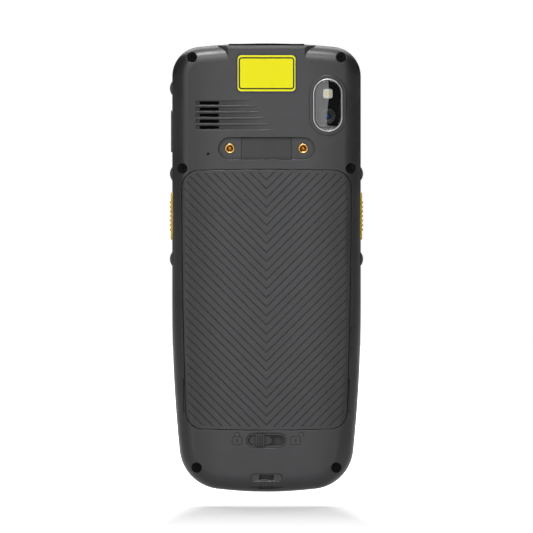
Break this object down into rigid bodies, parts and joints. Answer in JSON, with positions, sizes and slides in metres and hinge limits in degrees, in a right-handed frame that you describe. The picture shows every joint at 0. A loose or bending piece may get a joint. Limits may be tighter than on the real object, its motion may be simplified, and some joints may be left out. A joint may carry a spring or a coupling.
{
  "type": "portable barcode data terminal",
  "caption": "Handheld barcode data terminal with keypad, screen, end-facing scan window, rear camera, ribbed side scan keys and a latched lift-off battery cover.",
  "frame": {"origin": "middle of the lower end, centred across the width and the depth", "axes": "+Z along the terminal to its scanner end, -Y out of the screen, +Y out of the back, +X to the right hand of somebody who looks at the screen"},
  "size_m": [0.0724, 0.0196, 0.1684],
  "materials": {
    "housing": "fine matte texture",
    "latch": "matte",
    "side_key": "satin",
    "rocker": "satin",
    "key": "satin",
    "scan_key": "satin",
    "rubber": "matte",
    "glass": "polished",
    "window": "polished",
    "lens": "coated",
    "screen": "smooth",
    "metal": "stamped",
    "spring": "blued",
    "board": "lacquered",
    "inner_plastic": "moulded",
    "mesh": "woven",
    "mask": "printed",
    "bezel": "polished",
    "flash": "clear over phosphor",
    "insert": "turned",
    "screw": "black",
    "label": "printed film",
    "battery": "shrink wrap"
  },
  "bodies": {
    "terminal": {"rear_housing": "housing", "front_housing": "housing", "grip_plate": "housing", "housing_seal": "rubber", "keypad_mat": "rubber", "display_glass": "glass", "camera_window": "glass", "scan_window": "window", "camera_lens": "lens", "display_module": "screen", "midframe": "metal", "shield_cans": "metal", "usb_socket": "metal", "rocker_pin": "metal", "dome_switches": "metal", "vibration_motor": "metal", "latch_detent": "spring", "main_board": "board", "keypad_board": "board", "battery_connector": "inner_plastic", "side_switches": "inner_plastic", "loudspeaker": "inner_plastic", "earpiece": "inner_plastic", "scan_engine": "inner_plastic", "camera_module": "inner_plastic", "speaker_mesh": "mesh", "camera_mask": "mask", "camera_bezel": "bezel", "flash_led": "flash", "grip_inserts": "insert", "housing_screws": "screw", "label_plate": "label"},
    "battery_pack": {"battery_pack": "battery"},
    "battery_cover": {"battery_cover": "housing", "cover_gasket": "rubber"},
    "latch_slider": {"latch_slider": "latch"},
    "left_scan_key": {"left_scan_key": "side_key"},
    "right_scan_key": {"right_scan_key": "side_key"},
    "volume_rocker": {"volume_rocker": "rocker"},
    "key_1": {"key_1": "key"},
    "key_2": {"key_2": "key"},
    "key_3": {"key_3": "key"},
    "key_back": {"key_back": "key"},
    "key_4": {"key_4": "key"},
    "key_5": {"key_5": "key"},
    "key_6": {"key_6": "key"},
    "key_up": {"key_up": "key"},
    "key_7": {"key_7": "key"},
    "key_8": {"key_8": "key"},
    "key_9": {"key_9": "key"},
    "key_down": {"key_down": "key"},
    "key_star": {"key_star": "key"},
    "key_0": {"key_0": "key"},
    "key_hash": {"key_hash": "key"},
    "key_enter": {"key_enter": "key"},
    "key_function": {"key_function": "key"},
    "key_scan": {"key_scan": "scan_key"},
    "key_power": {"key_power": "key"}
  },
  "joints": [
    {"name": "battery_pack_tilt", "type": "hinge", "parent": "terminal", "child": "battery_pack", "pos_m": [0, 0.00925, 0.1207], "axis": [1, 0, 0], "range_deg": [0, 20]},
    {"name": "battery_cover_swing", "type": "hinge", "parent": "battery_pack", "child": "battery_cover", "pos_m": [0, 0.00925, 0.1207], "axis": [1, 0, 0], "range_deg": [0, 80]},
    {"name": "latch_slide", "type": "slide", "parent": "terminal", "child": "latch_slider", "axis": [-1, 0, 0], "range_m": [0, 0.0044]},
    {"name": "side_key_left_press", "type": "slide", "parent": "terminal", "child": "left_scan_key", "axis": [1, 0, 0], "range_m": [0, 0.0005], "stiffness_N_per_m": 400, "springref_m": -0.0005},
    {"name": "side_key_right_press", "type": "slide", "parent": "terminal", "child": "right_scan_key", "axis": [-1, 0, 0], "range_m": [0, 0.0005], "stiffness_N_per_m": 400, "springref_m": -0.0005},
    {"name": "side_rocker_tilt", "type": "hinge", "parent": "terminal", "child": "volume_rocker", "pos_m": [0.0325, 0.0002, 0.13525], "axis": [0, 1, 0], "range_deg": [-2.5, 2.5], "stiffness_Nm_per_rad": 0.02},
    {"name": "travel_key_1", "type": "slide", "parent": "terminal", "child": "key_1", "axis": [0, 1, 0], "range_m": [0, 0.0005], "stiffness_N_per_m": 300, "springref_m": -0.0005},
    {"name": "travel_key_2", "type": "slide", "parent": "terminal", "child": "key_2", "axis": [0, 1, 0], "range_m": [0, 0.0005], "stiffness_N_per_m": 300, "springref_m": -0.0005},
    {"name": "travel_key_3", "type": "slide", "parent": "terminal", "child": "key_3", "axis": [0, 1, 0], "range_m": [0, 0.0005], "stiffness_N_per_m": 300, "springref_m": -0.0005},
    {"name": "travel_key_back", "type": "slide", "parent": "terminal", "child": "key_back", "axis": [0, 1, 0], "range_m": [0, 0.0005], "stiffness_N_per_m": 300, "springref_m": -0.0005},
    {"name": "travel_key_4", "type": "slide", "parent": "terminal", "child": "key_4", "axis": [0, 1, 0], "range_m": [0, 0.0005], "stiffness_N_per_m": 300, "springref_m": -0.0005},
    {"name": "travel_key_5", "type": "slide", "parent": "terminal", "child": "key_5", "axis": [0, 1, 0], "range_m": [0, 0.0005], "stiffness_N_per_m": 300, "springref_m": -0.0005},
    {"name": "travel_key_6", "type": "slide", "parent": "terminal", "child": "key_6", "axis": [0, 1, 0], "range_m": [0, 0.0005], "stiffness_N_per_m": 300, "springref_m": -0.0005},
    {"name": "travel_key_up", "type": "slide", "parent": "terminal", "child": "key_up", "axis": [0, 1, 0], "range_m": [0, 0.0005], "stiffness_N_per_m": 300, "springref_m": -0.0005},
    {"name": "travel_key_7", "type": "slide", "parent": "terminal", "child": "key_7", "axis": [0, 1, 0], "range_m": [0, 0.0005], "stiffness_N_per_m": 300, "springref_m": -0.0005},
    {"name": "travel_key_8", "type": "slide", "parent": "terminal", "child": "key_8", "axis": [0, 1, 0], "range_m": [0, 0.0005], "stiffness_N_per_m": 300, "springref_m": -0.0005},
    {"name": "travel_key_9", "type": "slide", "parent": "terminal", "child": "key_9", "axis": [0, 1, 0], "range_m": [0, 0.0005], "stiffness_N_per_m": 300, "springref_m": -0.0005},
    {"name": "travel_key_down", "type": "slide", "parent": "terminal", "child": "key_down", "axis": [0, 1, 0], "range_m": [0, 0.0005], "stiffness_N_per_m": 300, "springref_m": -0.0005},
    {"name": "travel_key_star", "type": "slide", "parent": "terminal", "child": "key_star", "axis": [0, 1, 0], "range_m": [0, 0.0005], "stiffness_N_per_m": 300, "springref_m": -0.0005},
    {"name": "travel_key_0", "type": "slide", "parent": "terminal", "child": "key_0", "axis": [0, 1, 0], "range_m": [0, 0.0005], "stiffness_N_per_m": 300, "springref_m": -0.0005},
    {"name": "travel_key_hash", "type": "slide", "parent": "terminal", "child": "key_hash", "axis": [0, 1, 0], "range_m": [0, 0.0005], "stiffness_N_per_m": 300, "springref_m": -0.0005},
    {"name": "travel_key_enter", "type": "slide", "parent": "terminal", "child": "key_enter", "axis": [0, 1, 0], "range_m": [0, 0.0005], "stiffness_N_per_m": 300, "springref_m": -0.0005},
    {"name": "travel_key_function", "type": "slide", "parent": "terminal", "child": "key_function", "axis": [0, 1, 0], "range_m": [0, 0.0005], "stiffness_N_per_m": 300, "springref_m": -0.0005},
    {"name": "travel_key_scan", "type": "slide", "parent": "terminal", "child": "key_scan", "axis": [0, 1, 0], "range_m": [0, 0.0005], "stiffness_N_per_m": 300, "springref_m": -0.0005},
    {"name": "travel_key_power", "type": "slide", "parent": "terminal", "child": "key_power", "axis": [0, 1, 0], "range_m": [0, 0.0005], "stiffness_N_per_m": 300, "springref_m": -0.0005}
  ]
}
